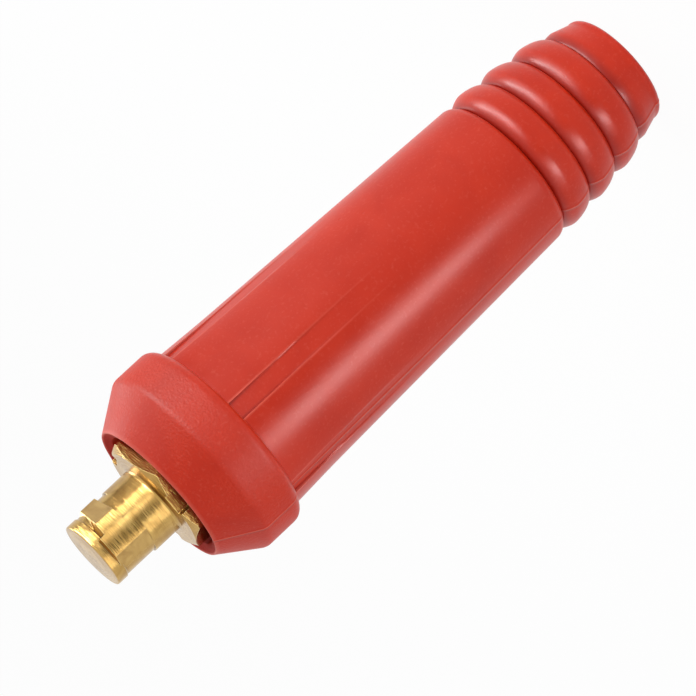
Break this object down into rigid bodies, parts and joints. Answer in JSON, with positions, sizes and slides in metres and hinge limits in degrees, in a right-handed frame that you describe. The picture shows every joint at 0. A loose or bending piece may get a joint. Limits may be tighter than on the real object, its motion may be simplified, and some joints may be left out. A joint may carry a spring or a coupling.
{
  "type": "welding cable plug",
  "caption": "Welding cable plug: a brass bayonet contact with a lugged pin and notched hexagonal flange, held in a tapered rubber boot with bend relief rings.",
  "frame": {"origin": "centre of the boot's cable end face, on which the plug stands", "axes": "+Z along the plug from the cable end to the nose; the nose's locking lug and the clamp screws face -Y"},
  "size_m": [0.0266, 0.0266, 0.0887],
  "materials": {
    "red_rubber": "moulded, satin",
    "turned_brass": "turned, bright",
    "zinc_plated_steel": "zinc plated",
    "copper_sheet": "rolled sheet"
  },
  "bodies": {
    "boot": {"rubber_boot": "red_rubber"},
    "contact": {"brass_contact": "turned_brass", "cable_ferrule": "copper_sheet"},
    "screw_1": {"clamp_screw_1": "zinc_plated_steel"},
    "screw_2": {"clamp_screw_2": "zinc_plated_steel"}
  },
  "joints": [
    {"name": "contact_pull", "type": "slide", "parent": "boot", "child": "contact", "axis": [0, 0, 1], "range_m": [0, 0.04]},
    {"name": "screw_1_turn", "type": "hinge", "parent": "contact", "child": "screw_1", "pos_m": [0, 0, 0.0499], "axis": [0, -1, 0], "continuous": true},
    {"name": "screw_2_turn", "type": "hinge", "parent": "contact", "child": "screw_2", "pos_m": [0, 0, 0.0579], "axis": [0, -1, 0], "continuous": true}
  ]
}
